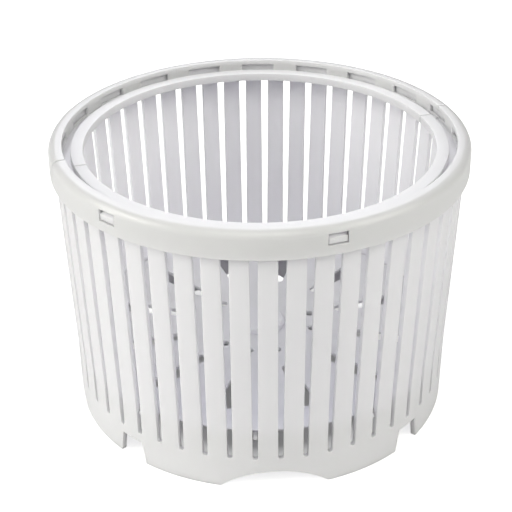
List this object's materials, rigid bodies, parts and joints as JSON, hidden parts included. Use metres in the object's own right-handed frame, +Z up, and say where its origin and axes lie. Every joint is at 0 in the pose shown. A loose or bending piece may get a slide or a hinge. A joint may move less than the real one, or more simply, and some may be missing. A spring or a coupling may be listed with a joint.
{
  "type": "salad spinner basket",
  "caption": "Tall tapered basket of a manual salad spinner: slotted round wall on arched feet, drained floor with a drive hub, and a clip-on two-piece rim.",
  "frame": {"origin": "centre of the plane that the feet stand on, on the basket's spin axis", "axes": "+Z up along the spin axis, -Y towards the side seen from the front, +X to the right"},
  "size_m": [0.24, 0.24, 0.167],
  "materials": {
    "wall_plastic": "white polypropylene, soft gloss",
    "floor_plastic": "white polypropylene, soft gloss",
    "rim_plastic": "white polypropylene, soft gloss"
  },
  "bodies": {
    "root": {"basket_wall": "wall_plastic", "basket_floor": "floor_plastic", "rim_half_front": "rim_plastic", "rim_half_back": "rim_plastic"}
  },
  "joints": []
}
